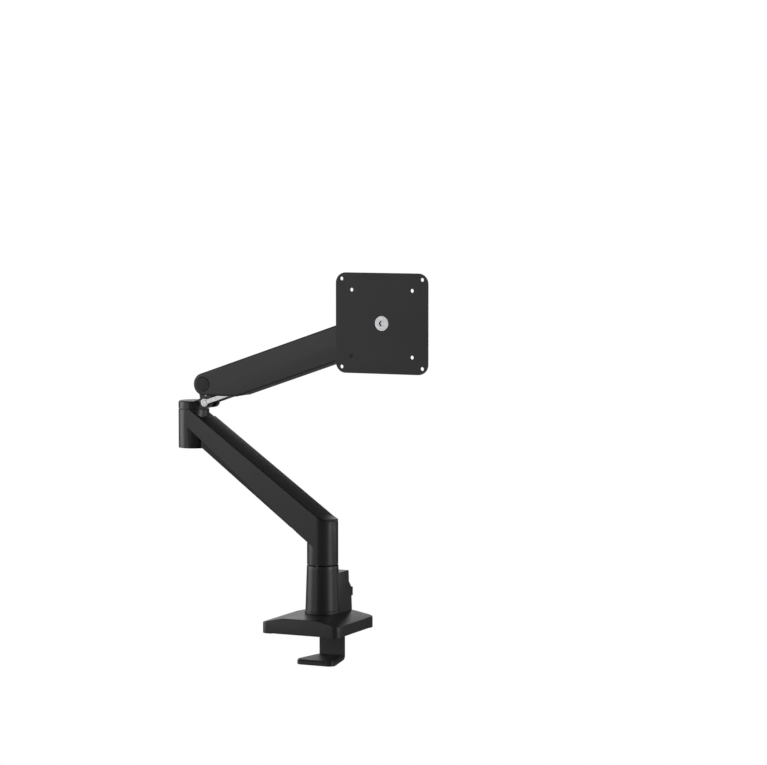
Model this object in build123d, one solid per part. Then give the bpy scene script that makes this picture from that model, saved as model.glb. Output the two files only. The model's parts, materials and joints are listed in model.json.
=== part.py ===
from build123d import *
import math
import os

# Desk-clamp monitor arm, in millimetres.
# Origin: the post's axis where the base rests on the desk. +X runs along the arm at rest towards the
# screen mount, -Y towards the user, +Z up.
# At rest the riser leans to -X, and the spring link folds back over it towards +X.

# ---- base ----
base_half_width = 50.0
base_front = -62.0
base_back = 37.5
base_corner_radius = 8.5
rim_top = 12.6
rim_bottom = 0.6
plateau_half_width = 22.5
plateau_front = 18.9
plateau_back = 18.0
foot_bottom = 0.2
foot_reach = 14.0
foot_width = 5.5
pad_thickness = 3.0
pad_inset = 6.0
pad_back = 21.6
plate_thickness = 2.5
plate_half_width = 34.0
plate_front = -44.0
plate_back = 12.0
screw_radius = 2.1
screw_head = 4.3
screw_sink = 1.8
screw_slot_radius = 1.5

# ---- post ----
post_foot_radius = 20.4
post_top_radius = 18.5
post_bottom = 18.9
post_top = 74.9
post_wall = 2.4
foot_lip = 0.6
foot_lip_top = 22.6
core_radius = 10.0
core_flange_radius = 17.0
core_flange_height = 5.0
core_head_radius = 14.6
core_head_height = 9.0
core_head_blend = 5.0
spindle_grip = 10.0

# ---- swivel bearings, shared by the post and the elbow ----
spindle_radius = 8.0
bush_radius = 10.5
bush_height = 11.5
bush_lift = 1.0
upper_bush_lift = 19.5
bore_depth = 31.5
thread_radius = 5.0
thread_length = 10.0
spindle_washer_radius = 12.2
spindle_washer_height = 2.0
spindle_nut_radius = 9.2
spindle_nut_height = 6.0
running_gap = 0.05
seam = 1.1
stop_radius = 13.0
stop_pin_radius = 1.5
stop_pin_depth = 7.0
stop_groove_depth = 4.5
swivel_low = -90.0
swivel_high = 180.0

# ---- rear housing and latch ----
housing_half_foot = 20.6
housing_half_top = 19.1
housing_back = 37.3
housing_top_back = 31.5
housing_top = 65.8
chamfer_low = 46.0
chamfer_high = 52.5
housing_wall = 2.0
housing_screw_x = 14.6
housing_screw_y = 31.6
housing_screw_radius = 1.6
housing_boss_radius = 3.0
housing_boss_top = 29.0
key_hole_radius = 2.6
latch_low = 34.4
latch_high = 44.8
latch_half_width = 18.8
latch_stem_half = 15.2
latch_bar_depth = 4.2
latch_proud = 6.0
latch_gap = 0.3
latch_travel = 1.4

# ---- desk clamp ----
web_front = 23.2
web_thickness = 4.4
web_half_width = 15.7
web_top = 26.5
web_gap = 0.4
foot_front = -24.2
foot_front_half_width = 25.6
foot_thickness = 4.6
foot_pad_thickness = 1.6
clamp_gap = 34.2
clamp_corner = 7.0
clamp_up = 19.0
clamp_screw_y = 20.4
clamp_screw_radius = 2.5
nut_bottom = 11.0
nut_height = 8.0
nut_half_width = 7.5
nut_front = 15.0
nut_pin_radius = 1.5
screw_head_radius = 4.25
screw_head_height = 4.0
screw_key_radius = 2.31
lug_thickness = 4.0

# ---- riser ----
turret_radius = 18.3
riser_top_at_axis = 133.1
riser_top_slope = 0.714
riser_nose_x = 1.0
lower_edge_x = -23.6
lower_edge_z = 112.4
lower_edge_slope = 0.82
strip_slope = 0.754
strip_drop = 0.2
strip_tongue = 1.8
cover_gap = 0.9
cover_edge = 0.6
cover_crown = 1.2
elbow_x = -170.0
elbow_top = 252.0
elbow_bottom = 206.0
channel_half_width = 9.5
cover_screw_radius = 1.5
cover_screw_head = 2.8
cover_boss_radius = 3.2
cover_boss_drop = 2.8
channel_depth = 8.5
elbow_bore_radius = 13.5

# ---- spring link ----
link_length = 230.0
link_rise = 19.0
lift_low = -49.0
lift_high = 21.0
pivot_offset = 22.0
pivot_height = 31.0
tie_drop = 22.0
strut_drop = 12.0
link_half_width = 18.0
link_wall = 2.5
link_top = 13.0
link_bottom = -27.0
link_end_radius = 13.2
link_belly_inset = 38.0
pivot_pin_radius = 4.0
pivot_bush_radius = 6.0
pivot_cap_radius = 8.5
tie_pin_radius = 3.0
tie_bar_thickness = 3.0
tie_bar_outer = 15.0
tie_bar_half = 2.7
cheek_outer = 11.5
cheek_inner = 5.2
cheek_radius = 9.8
strut_pin_radius = 2.5
strut_cylinder_radius = 9.0
strut_wall = 1.3
strut_rod_radius = 3.5
eye_radius = 6.4
eye_clearance = 1.7
strut_from = 56.0
strut_to = 168.0
strut_cap = 6.0
piston_at = 100.0
piston_half = 4.0
carriage_length = 16.0
carriage_half = 11.0
rib_from = 199.0
rib_thickness = 4.0
hex_head_radius = 4.0
hex_head_height = 3.5
tension_screw_w = 5.8
tension_screw_radius = 2.5

# ---- head ----
pan_offset = 34.0
pan_radius = 15.0
pan_spindle_radius = 6.0
pan_bush_radius = 8.0
knuckle_drop = 7.6
knuckle_barrel_height = 24.0
yoke_height = 22.0
washer_height = 1.2
tilt_reach = 34.0
ear_inner = 11.0
ear_outer = 16.0
tilt_radius = 10.5
tilt_bolt_radius = 4.0
mount_reach = 60.0
vesa_plate_thickness = 2.5
vesa_plate_width = 114.0
vesa_corner = 12.0
vesa_wide = 100.0
vesa_narrow = 75.0
vesa_hole_radius = 2.25
rotor_radius = 22.0
rotate_bolt_radius = 5.0

# ---- places worked out from the sizes above ----
pivot_x = elbow_x + pivot_offset
pivot_z = elbow_top + pivot_height
rise = math.radians(link_rise)
head_x = pivot_x + link_length * math.cos(rise)
head_z = pivot_z + link_length * math.sin(rise)
pan_x = head_x + pan_offset
tie_z = pivot_z - tie_drop
turret_bottom = post_top + seam
knuckle_top = head_z - knuckle_drop
knuckle_bottom = knuckle_top - knuckle_barrel_height
yoke_bottom = knuckle_top + washer_height
yoke_top = yoke_bottom + yoke_height
tilt_z = (yoke_bottom + yoke_top) / 2
tilt_y = -tilt_reach
face_y = -mount_reach
foot_top = -clamp_gap - foot_pad_thickness
foot_underside = foot_top - foot_thickness
lug_bottom = nut_bottom + nut_height + clamp_up + 0.4
lug_top = lug_bottom + lug_thickness
housing_screw_seat = rim_bottom + 6.0

parts = {}


# ---- helpers ----
def block(x0, x1, y0, y1, z0, z1):
    """A box between two opposite corners."""
    return Pos((x0 + x1) / 2, (y0 + y1) / 2, (z0 + z1) / 2) * Box(x1 - x0, y1 - y0, z1 - z0)


def rod_z(radius, z0, z1, x=0.0, y=0.0):
    """A cylinder along Z."""
    return Pos(x, y, (z0 + z1) / 2) * Cylinder(radius, z1 - z0)


def rod_y(radius, y0, y1, x=0.0, z=0.0):
    """A cylinder along Y."""
    return Pos(x, (y0 + y1) / 2, z) * Rot(90, 0, 0) * Cylinder(radius, y1 - y0)


def rod_x(radius, x0, x1, y=0.0, z=0.0):
    """A cylinder along X."""
    return Pos((x0 + x1) / 2, y, z) * Rot(0, 90, 0) * Cylinder(radius, x1 - x0)


def side_plate(points, y0, y1):
    """An outline given in X and Z, carried from y0 to y1."""
    outline = Plane.XZ * make_face(Polyline(*points, close=True))
    return Pos(0, y1, 0) * extrude(outline, amount=y1 - y0)


def floor_plate(points, z0, z1):
    """An outline given in X and Y, carried from z0 to z1."""
    outline = make_face(Polyline(*points, close=True))
    return Pos(0, 0, z0) * extrude(outline, amount=z1 - z0)


def side_slot(radius_a, a, radius_b, b, y0, y1):
    """Two round bosses along Y at the places a and b (X, Z), joined by their common tangents."""
    outline = make_hull([*edges_of_circle(radius_a, a), *edges_of_circle(radius_b, b)])
    return Pos(0, y1, 0) * extrude(Plane.XZ * outline, amount=y1 - y0)


def edges_of_circle(radius, place):
    """The edges of a circle about a place in the plane."""
    return (Pos(place[0], place[1]) * Circle(radius)).edges()


def rounded_plate(x0, x1, y0, y1, z0, z1, radius):
    """A flat plate with rounded vertical corners."""
    middle = Pos((x0 + x1) / 2, (y0 + y1) / 2, z0)
    return middle * extrude(RectangleRounded(x1 - x0, y1 - y0, radius), amount=z1 - z0)


def on_link(solid):
    """Takes a solid drawn along the link (X along it, Z across it, pivot at the origin) to its place."""
    return Pos(pivot_x, 0, pivot_z) * Rot(0, -link_rise, 0) * solid


def both_sides(solid):
    """A solid and its mirror image across the middle plane of the arm."""
    return [solid, mirror(solid, about=Plane.XZ)]


def both_sides_x(solid):
    """A solid and its mirror image across the plane X = 0."""
    return [solid, mirror(solid, about=Plane.YZ)]


def keep(name, *solids):
    """Files one node: each solid in it stays separate."""
    loose = []
    for solid in solids:
        loose += solid.solids()
    parts[name] = Compound(children=loose) if len(loose) > 1 else loose[0]


# ---- base ----
def base_outline(inset, z0, z1):
    """The base's outline, drawn in by an inset, as a plate."""
    return rounded_plate(
        -base_half_width + inset,
        base_half_width - inset,
        base_front + inset,
        base_back - inset,
        z0,
        z1,
        max(base_corner_radius - inset, 2.0),
    )


def base_profile(y, plateau):
    """The base's section across X: a raised middle and flanks that fall to the rim."""
    points = [
        (-base_half_width - 1, rim_bottom),
        (base_half_width + 1, rim_bottom),
        (base_half_width + 1, rim_top),
        (plateau_half_width, plateau),
        (-plateau_half_width, plateau),
        (-base_half_width - 1, rim_top),
    ]
    return Pos(0, y, 0) * (Plane.XZ * make_face(Polyline(*points, close=True)))


def make_base():
    ridge = loft([base_profile(base_front - 1, plateau_front), base_profile(base_back + 1, plateau_back)])
    casting = ridge & base_outline(0, 0, post_top)
    rim = base_outline(0, foot_bottom, rim_bottom) - base_outline(foot_width, 0, rim_bottom + 1)
    top_edges = casting.edges().filter_by(lambda e: e.center().Z > rim_top - 0.6)
    outer = top_edges.filter_by(lambda e: not inside_base(e.center()))
    casting = fillet(outer, 1.0)
    for sx in (-1, 1):
        for y in (base_front, base_back):
            corner = Pos(sx * base_half_width, y, 1) * Box(2 * foot_reach, 2 * foot_reach, 4)
            casting += rim & corner
    pad_hole = rounded_plate(
        -base_half_width + pad_inset - 0.2,
        base_half_width - pad_inset + 0.2,
        base_front + pad_inset - 0.2,
        pad_back + 0.2,
        0,
        pad_thickness,
        3.2,
    )
    casting -= pad_hole
    plate_top = pad_thickness + plate_thickness
    casting -= block(-plate_half_width, plate_half_width, plate_front, plate_back, 0, plate_top)
    casting -= rod_z(core_flange_radius + 0.3, 0, post_top)
    well_half = web_half_width + web_gap
    well_back = web_front + web_thickness + web_gap
    casting -= block(-well_half, well_half, web_front - web_gap, well_back, 0, post_top)
    nut_half = nut_half_width + web_gap
    casting -= block(-nut_half, nut_half, nut_front - web_gap, web_front, 0, post_top)
    for x, y in plate_screw_places():
        casting -= rod_z(screw_radius, 0, plate_top + 7, x, y)
    for x in housing_screw_places():
        casting -= rod_z(housing_screw_radius + 0.1, 0, post_top, x, housing_screw_y)
        casting -= rod_z(housing_boss_radius + 0.2, 0, housing_screw_seat, x, housing_screw_y)
    keep("base_casting", casting)


def inside_base(point):
    """Whether a point lies well inside the base's outline."""
    return abs(point.X) < base_half_width - 2.6 and base_front + 2.6 < point.Y < base_back - 2.6


def plate_screw_places():
    return [(sx * 27.0, y) for sx in (-1, 1) for y in (-37.0, 5.0)]


def core_screw_places():
    return [(sx * 9.0, y) for sx in (-1, 1) for y in (-10.0, 7.0)]


def housing_screw_places():
    return [-housing_screw_x, housing_screw_x]


def countersink(x, y, z):
    """The cone of a countersunk head whose wide face lies at a height."""
    return Pos(x, y, z + screw_sink / 2) * Cone(screw_head, screw_radius, screw_sink)


def make_base_parts():
    pad = rounded_plate(
        -base_half_width + pad_inset,
        base_half_width - pad_inset,
        base_front + pad_inset,
        pad_back,
        0,
        pad_thickness,
        3.0,
    )
    pocket_half = nut_half_width + web_gap
    pad -= block(-pocket_half, pocket_half, nut_front - web_gap, pad_back + 1, 1.2, 5)
    keep("base_pad", pad)

    z0 = pad_thickness
    z1 = pad_thickness + plate_thickness
    plate = block(-plate_half_width, plate_half_width, plate_front, plate_back, z0, z1)
    places = plate_screw_places() + core_screw_places()
    for x, y in places:
        plate -= rod_z(screw_radius, z0, z1, x, y)
        plate -= countersink(x, y, z0)
    keep("reinforcing_plate", plate)

    screws = []
    for x, y in places:
        reach = 4.5 if (x, y) in core_screw_places() else 6.5
        shank = rod_z(screw_radius, z0 + screw_sink, z1 + reach, x, y)
        screws.append(countersink(x, y, z0) + shank - rod_z(screw_slot_radius, z0, z0 + 1.2, x, y))
    keep("base_screws", *screws)


# ---- post ----
def post_radius(z):
    """The post's radius, which shrinks evenly from its foot to the seam."""
    share = (z - post_bottom) / (post_top - post_bottom)
    return post_foot_radius + share * (post_top_radius - post_foot_radius)


def post_cone(shrink, z0, z1):
    """The post's tapered form between two heights, drawn in by an amount."""
    low = post_radius(z0) - shrink
    high = post_radius(z1) - shrink
    return Pos(0, 0, (z0 + z1) / 2) * Cone(low, high, z1 - z0)


def plateau_cut():
    """Everything below the base's sloping top, to seat what stands on it."""
    return loft([base_profile(base_front - 1, plateau_front), base_profile(base_back + 1, plateau_back)])


def make_post():
    shell = post_cone(0, post_bottom, post_top)
    edge = shell.edges().sort_by(Axis.Z)[-1]
    shell = chamfer(edge, 0.5)
    lip = rod_z(post_foot_radius + foot_lip, post_bottom, foot_lip_top)
    shell += chamfer(lip.edges().sort_by(Axis.Z)[-1], foot_lip - 0.05)
    shell -= post_cone(post_wall, post_bottom, post_top)
    window = nut_half_width + 2.5
    shell -= block(-window, window, 5, 30, 0, chamfer_high)
    shell -= rod_z(key_hole_radius, chamfer_high, post_top + 1, 0, clamp_screw_y)
    shell -= plateau_cut()
    keep("post_shell", shell)

    flange_bottom = pad_thickness + plate_thickness
    flange_top = flange_bottom + core_flange_height
    core = rod_z(core_flange_radius, flange_bottom, flange_top)
    core -= block(-30, 30, plate_back, 30, 0, flange_top + 1)
    core += rod_z(core_radius, flange_bottom, post_top)
    head_low = post_top - core_head_height
    core += rod_z(core_head_radius, head_low, post_top)
    core += Pos(0, 0, head_low - core_head_blend / 2) * Cone(core_radius, core_head_radius, core_head_blend)
    lug_half = nut_half_width - web_gap
    core += block(-lug_half, lug_half, 0, clamp_screw_y + screw_head_radius + 0.8, lug_bottom, lug_top)
    core -= rod_z(clamp_screw_radius + 0.2, 0, lug_top + 1, 0, clamp_screw_y)
    spindle_low = flange_top + spindle_grip
    core -= rod_z(spindle_radius, spindle_low, post_top + 1)
    pin_low = post_top - stop_pin_depth
    core -= rod_z(stop_pin_radius, pin_low, post_top + 1, 0, -stop_radius)
    for x, y in core_screw_places():
        core -= rod_z(screw_radius, 0, flange_bottom + 4.5, x, y)
    keep("post_core", core)

    shoulder = turret_bottom + bore_depth + 0.4
    thread_end = shoulder + thread_length
    spindle = rod_z(spindle_radius, spindle_low, shoulder)
    spindle += rod_z(thread_radius, shoulder, thread_end)
    keep("swivel_spindle", chamfer(spindle.edges().sort_by(Axis.Z)[-1], 0.8))
    washer_top = shoulder + spindle_washer_height
    washer = rod_z(spindle_washer_radius, shoulder, washer_top)
    keep("spindle_washer", washer - rod_z(thread_radius, shoulder, washer_top))
    nut = Pos(0, 0, washer_top) * extrude(RegularPolygon(spindle_nut_radius, 6), amount=spindle_nut_height)
    keep("spindle_nut", nut - rod_z(thread_radius, shoulder, thread_end))
    pin_top = turret_bottom + stop_groove_depth - 0.9
    keep("stop_pin", rod_z(stop_pin_radius, pin_low, pin_top, 0, -stop_radius))


# ---- rear housing and latch ----
def housing_block(inset):
    """The housing's form, drawn in by a wall: a box whose back steps in above a chamfer."""
    back = housing_back - inset
    top_back = housing_top_back - inset
    low = chamfer_low - inset * 0.75
    high = chamfer_high - inset * 0.75
    lid = housing_top - inset
    points = [(0, 0), (back, 0), (back, low), (top_back, high), (top_back, lid), (0, lid)]
    outline = Plane.YZ * make_face(Polyline(*points, close=True))
    box = Pos(-30, 0, 0) * extrude(outline, amount=60)
    foot = housing_half_foot - inset
    top = housing_half_top - inset
    slope = (foot - top) / (housing_top - plateau_back)
    low_half = foot + slope * plateau_back
    sides = [(-low_half, 0), (low_half, 0), (top, housing_top), (-top, housing_top)]
    return box & side_plate(sides, -1, 60)


def make_housing():
    shell = housing_block(0)
    back_edges = shell.edges().filter_by(lambda e: e.center().Y > housing_top_back - 0.5)
    shell = fillet(back_edges.filter_by(lambda e: abs(e.center().X) > 15 and e.center().Z > 5), 1.2)
    lid_edges = shell.edges().filter_by(Axis.X).filter_by(lambda e: e.center().Z > housing_top - 1)
    shell = fillet(lid_edges.filter_by(lambda e: e.center().Y > 20), 0.9)
    shell -= housing_block(housing_wall)
    for x in housing_screw_places():
        shell += rod_z(housing_boss_radius, 5, housing_boss_top, x, housing_screw_y)
        shell -= rod_z(housing_screw_radius, 0, housing_boss_top - 2, x, housing_screw_y)
    shell -= post_cone(0, 0.1, post_top + 4)
    shell -= rod_z(post_foot_radius + foot_lip, 0, foot_lip_top)
    shell -= plateau_cut()
    shell -= rod_z(key_hole_radius, housing_top - 5, housing_top + 1, 0, clamp_screw_y)
    window = latch_stem_half + latch_gap
    window_low = latch_low - latch_gap
    window_high = latch_high + latch_gap
    shell -= block(-window, window, housing_back - 4, housing_back + 1, window_low, window_high)
    keep("rear_housing", shell.solids().sort_by(SortBy.VOLUME)[-1])

    outer = housing_back + latch_proud
    bar = block(-latch_half_width, latch_half_width, outer - latch_bar_depth, outer, latch_low, latch_high)
    bar = fillet(bar.edges().filter_by(lambda e: e.center().Y > outer - 0.1), 1.0)
    scoop_radius = 22.0
    bar -= rod_x(scoop_radius, -12, 12, outer + scoop_radius - 1.0, (latch_low + latch_high) / 2)
    flange_half = latch_stem_half + 1.2
    flange_front = web_front + web_thickness + latch_travel + latch_gap
    flange_back = housing_back - housing_wall - 0.1
    bar += block(-flange_half, flange_half, flange_front, flange_back, latch_low - 2, latch_high - 1.4)
    stem_low = latch_low + 0.4
    stem_high = latch_high - 0.4
    bar += block(-latch_stem_half, latch_stem_half, flange_front, outer - 1, stem_low, stem_high)
    keep("latch_bar", bar)

    screws = []
    for x in housing_screw_places():
        head = rod_z(housing_boss_radius, housing_screw_seat - 2, housing_screw_seat, x, housing_screw_y)
        shank = rod_z(housing_screw_radius, housing_screw_seat, housing_boss_top - 3, x, housing_screw_y)
        screws.append(head + shank)
    keep("housing_screws", *screws)


# ---- desk clamp ----
def foot_half(y):
    """Half the foot's width, which grows evenly from the web to the front."""
    share = (web_front - y) / (web_front - foot_front)
    return web_half_width + share * (foot_front_half_width - web_half_width)


def foot_plate(inset, back, z0, z1):
    """The foot's outline, drawn in by an inset, with rounded front corners."""
    front = foot_front + inset
    bend = min(back, web_front)
    wide = foot_half(front) - inset
    narrow = foot_half(bend) - inset
    right = [(narrow, bend), (wide, front)]
    if back > bend:
        right = [(narrow, back), *right]
    left = [(-x, y) for x, y in reversed(right)]
    plate = floor_plate([*right, *left], z0, z1)
    corners = plate.edges().filter_by(Axis.Z).filter_by(lambda e: e.center().Y < front + 1)
    return fillet(corners, clamp_corner - inset)


def make_clamp():
    web_back = web_front + web_thickness
    web = block(-web_half_width, web_half_width, web_front, web_back, foot_underside, web_top)
    web -= block(-nut_half_width, nut_half_width, web_front - 1, web_back + 1, nut_bottom, web_top + 1)
    foot = foot_plate(0, web_back, foot_underside, foot_top)
    bracket = web + foot
    heel = bracket.edges().filter_by(Axis.X).filter_by(
        lambda e: e.center().Y > web_back - 0.1 and e.center().Z < foot_underside + 0.1
    )
    bracket = fillet(heel, 5.0)
    throat = bracket.edges().filter_by(Axis.X).filter_by(
        lambda e: abs(e.center().Y - web_front) < 0.1 and abs(e.center().Z - foot_top) < 0.1
    )
    bracket = fillet(throat, 1.5)
    pin_y = web_front + web_thickness / 2
    pin_z = nut_bottom + nut_height / 2
    pin = rod_x(nut_pin_radius, nut_half_width - 3, web_half_width, pin_y, pin_z)
    pins = both_sides_x(pin)
    for one in pins:
        bracket -= one
    keep("clamp_bracket", bracket)

    keep("foot_pad", foot_plate(1.0, web_front - 2.5, foot_top, foot_top + foot_pad_thickness))

    nut = block(-nut_half_width, nut_half_width, nut_front, web_back, nut_bottom, nut_bottom + nut_height)
    nut -= rod_z(clamp_screw_radius + running_gap, 0, 40, 0, clamp_screw_y)
    for one in pins:
        nut -= one
    keep("clamp_nut", nut)
    keep("nut_pins", *pins)

    seat = lug_top + 1.2
    screw = rod_z(clamp_screw_radius, pad_thickness + 0.6, seat, 0, clamp_screw_y)
    screw += rod_z(screw_head_radius, seat, seat + screw_head_height, 0, clamp_screw_y)
    socket = Pos(0, clamp_screw_y, seat + 1.5) * extrude(RegularPolygon(screw_key_radius, 6), amount=4)
    keep("clamp_screw", screw - socket)
    ring = rod_z(screw_head_radius, lug_top, seat, 0, clamp_screw_y)
    ring -= rod_z(clamp_screw_radius + 0.2, lug_top, seat, 0, clamp_screw_y)
    keep("thrust_washer", ring)


# ---- riser ----
def riser_top(x):
    """Height of the side's top edge along the straight of the riser."""
    return riser_top_at_axis - riser_top_slope * x


def riser_lower(x):
    """Height of the side's lower edge beyond the point where the strip starts."""
    return lower_edge_z - lower_edge_slope * (x - lower_edge_x)


def strip_lower(x):
    """Height of the underside strip's lower face."""
    return lower_edge_z - strip_drop - strip_slope * (x - lower_edge_x)


def top_path():
    """The parting line in side view: the straight slope, then an arc that levels out over the nose."""
    angle = math.atan(riser_top_slope)
    reach = turret_radius - riser_nose_x
    radius = reach / math.sin(angle)
    start = (elbow_x - 30, 0, riser_top(elbow_x - 30))
    bend = (riser_nose_x, 0, riser_top(riser_nose_x))
    line = Line(start, bend)
    centre_x = turret_radius
    centre_z = bend[2] + radius * math.cos(angle)
    middle_angle = angle / 2
    middle = (
        centre_x - radius * math.sin(middle_angle),
        0,
        centre_z - radius * math.cos(middle_angle),
    )
    end = (centre_x, 0, centre_z - radius)
    arc = ThreePointArc(bend, middle, end)
    tail = Line(end, (end[0] + 6, 0, end[2]))
    return line, arc, tail


def above_path(lift, height):
    """A wall-to-wall block above the parting line, raised by a lift and given a height."""
    line, arc, tail = top_path()
    low = [Pos(0, 0, lift) * e for e in (line, arc, tail)]
    start = low[0] @ 0
    end = low[2] @ 1
    top = Polyline(start, start + Vector(0, 0, height), (end.X, 0, start.Z + height), end)
    outline = make_face(Wire([*[e for c in low for e in c.edges()], *top.edges()]))
    return Pos(0, 30, 0) * extrude(outline, amount=60, dir=(0, -1, 0))


def riser_plan(margin, z0, z1, from_x):
    """The riser's outline from above: flat sides that end in the round of the turret."""
    half = turret_radius - margin
    plan = block(from_x, 0, -half, half, z0, z1)
    return plan + rod_z(half, z0, z1)


def make_riser():
    sides = [
        (0.0, riser_top_at_axis + 40),
        (elbow_x, riser_top(elbow_x) + 40),
        (elbow_x, riser_lower(elbow_x)),
        (lower_edge_x, lower_edge_z),
        (0.0, lower_edge_z + strip_slope * lower_edge_x),
    ]
    body = side_plate(sides, -turret_radius, turret_radius)
    body += rod_z(turret_radius, turret_bottom, riser_top_at_axis + 40)
    body -= above_path(0, 200)
    body += rod_z(turret_radius, elbow_bottom, elbow_top, elbow_x)
    body -= block(elbow_x - 40, elbow_x + 40, -40, 40, elbow_top, elbow_top + 60)

    inner = [
        (elbow_x + 18.5, riser_lower(elbow_x + 18.5) - 20),
        (elbow_x + 18.5, riser_lower(elbow_x + 18.5) + channel_depth),
        (-30.0, riser_lower(-30.0) + channel_depth),
        (-30.0, riser_lower(-30.0) - 20),
    ]
    body -= side_plate(inner, -channel_half_width, channel_half_width)

    bore_top = turret_bottom + bore_depth
    body -= rod_z(bush_radius, 0, bore_top)
    body -= rod_z(spindle_washer_radius + 0.8, bore_top, riser_top_at_axis + 10)
    groove_top = turret_bottom + stop_groove_depth
    groove = rod_z(stop_radius + 1.8, turret_bottom, groove_top)
    groove -= rod_z(stop_radius - 2.0, turret_bottom, groove_top)
    margin = 9.0
    free = 360.0 - (swivel_high - swivel_low) - 2 * margin
    wedge_from = -90.0 - swivel_low + margin
    steps = [wedge_from + free * i / 4 for i in range(5)]
    rim = [(40 * math.cos(math.radians(a)), 40 * math.sin(math.radians(a))) for a in steps]
    groove -= floor_plate([(0, 0), *rim], turret_bottom, groove_top)
    body -= groove

    body -= rod_z(bush_radius, elbow_bottom, elbow_top + 1, elbow_x)
    body -= rod_z(elbow_bore_radius, elbow_bottom, elbow_bottom + 7, elbow_x)
    for x in cover_screw_places():
        roof = riser_lower(x) + channel_depth
        body -= rod_z(cover_screw_radius + 0.1, roof - 8, riser_top(x) + 3, x)
        body -= rod_z(cover_screw_head + 0.2, roof - 10, roof + 3, x)
        body -= rod_z(cover_boss_radius + 0.2, riser_top(x) - cover_boss_drop - 0.2, riser_top(x) + 9, x)
    keep("riser_casting", body)

    section = crown_section()
    line, arc, tail = top_path()
    path = Wire([*line.edges(), *arc.edges(), *tail.edges()])
    cover = sweep(section, path=path)
    cover &= riser_plan(0.15, 0, 300, elbow_x + turret_radius + 1.2)
    screws = []
    for x in cover_screw_places():
        roof = riser_lower(x) + channel_depth
        tip = riser_top(x) - 0.4
        boss = rod_z(cover_boss_radius, riser_top(x) - cover_boss_drop, riser_top(x) + 6, x)
        cover += boss & under_cover(x)
        cover -= rod_z(cover_screw_radius, 0, tip, x)
        screw = rod_z(cover_screw_radius, roof + 1.0, tip, x)
        screw += rod_z(cover_screw_head, roof + 1.0, roof + 3, x)
        screws.append(screw)
    keep("riser_top_cover", cover)
    keep("cover_screws", *screws)

    strip_end = elbow_x + turret_radius + 1.0
    strip_start = lower_edge_x - 9
    upper = [(strip_start, riser_lower(strip_start)), (strip_end, riser_lower(strip_end))]
    lower = [(strip_end, strip_lower(strip_end)), (strip_start, strip_lower(strip_start))]
    strip = side_plate([*upper, *lower], -turret_radius + 0.2, turret_radius - 0.2)
    tongue_end = elbow_x + 19
    rail = [
        (strip_start, riser_lower(strip_start)),
        (strip_start, riser_lower(strip_start) + strip_tongue),
        (tongue_end, riser_lower(tongue_end) + strip_tongue),
        (tongue_end, riser_lower(tongue_end)),
    ]
    strip += side_plate(rail, -channel_half_width + 0.1, channel_half_width - 0.1)
    keep("riser_cable_cover", strip)


def crown_section():
    """The top cover's section: flat below, upright edges, and a shallow arc on top."""
    start = Vector(elbow_x - 30, 0, riser_top(elbow_x - 30))
    angle = math.degrees(math.atan(riser_top_slope))
    half = turret_radius + 1.0
    shoulder = cover_gap + cover_edge
    points = [(-half, cover_gap), (half, cover_gap), (half, shoulder)]
    base = Polyline((-half, shoulder), *points)
    crown = ThreePointArc(points[2], (0, shoulder + cover_crown), (-half, shoulder))
    face = make_face([*base.edges(), *crown.edges()])
    along = Vector(math.cos(math.radians(angle)), 0, -math.sin(math.radians(angle)))
    plane = Plane(origin=start, x_dir=(0, 1, 0), z_dir=along)
    return plane * face


def under_cover(x):
    """The space below the top cover's skin around a screw, which keeps its boss from showing."""
    lift = cover_gap + cover_edge
    left = x - 10
    right = x + 10
    upper = [(left, riser_top(left) + lift), (right, riser_top(right) + lift)]
    lower = [(right, riser_top(right) - 20), (left, riser_top(left) - 20)]
    return side_plate([*upper, *lower], -10, 10)


def cover_screw_places():
    return [-40.0, -118.0]


def bearing(name, spots, radius, bush, x):
    """Plain bushes around one spindle."""
    rings = []
    for z0, z1 in spots:
        rings.append(rod_z(bush, z0, z1, x) - rod_z(radius + running_gap, z0, z1, x))
    keep(name, *rings)


def make_riser_bearings():
    spots = []
    for lift in (bush_lift, upper_bush_lift):
        spots.append((turret_bottom + lift, turret_bottom + lift + bush_height))
    bearing("swivel_bushes", spots, spindle_radius, bush_radius, 0.0)
    ring = rod_z(bush_radius + 0.1, post_top + 0.05, turret_bottom)
    ring -= rod_z(spindle_radius + 0.3, post_top, turret_bottom)
    keep("swivel_washer", ring)
    low = elbow_bottom + 7.5
    high = elbow_top - 0.5 - bush_height
    spots = [(low, low + bush_height), (high, high + bush_height)]
    bearing("elbow_bushes", spots, spindle_radius, bush_radius, elbow_x)
    ring = rod_z(16.0, elbow_top, elbow_top + washer_height - 0.05, elbow_x)
    ring -= rod_z(spindle_radius + 0.3, elbow_top, elbow_top + washer_height, elbow_x)
    keep("elbow_washer", ring)


# ---- elbow ----
def cheeks(x, z, boss):
    """Two upright cheeks that carry the link's pivot and, below it, the tie bars' pivot."""
    lug = side_slot(cheek_radius, (x, z), 7.0, (x, z - tie_drop), cheek_inner, cheek_outer)
    lug += side_slot(7.0, (x, z - tie_drop), boss[0], (boss[1], boss[2]), cheek_inner, cheek_outer)
    return lug


def pivot_bores(body, x, z):
    """Opens the bores of the link's pivot and of the tie bars' pivot."""
    body -= rod_y(pivot_pin_radius, -40, 40, x, z)
    body -= rod_y(tie_pin_radius, -40, 40, x, z - tie_drop)
    return body


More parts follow.
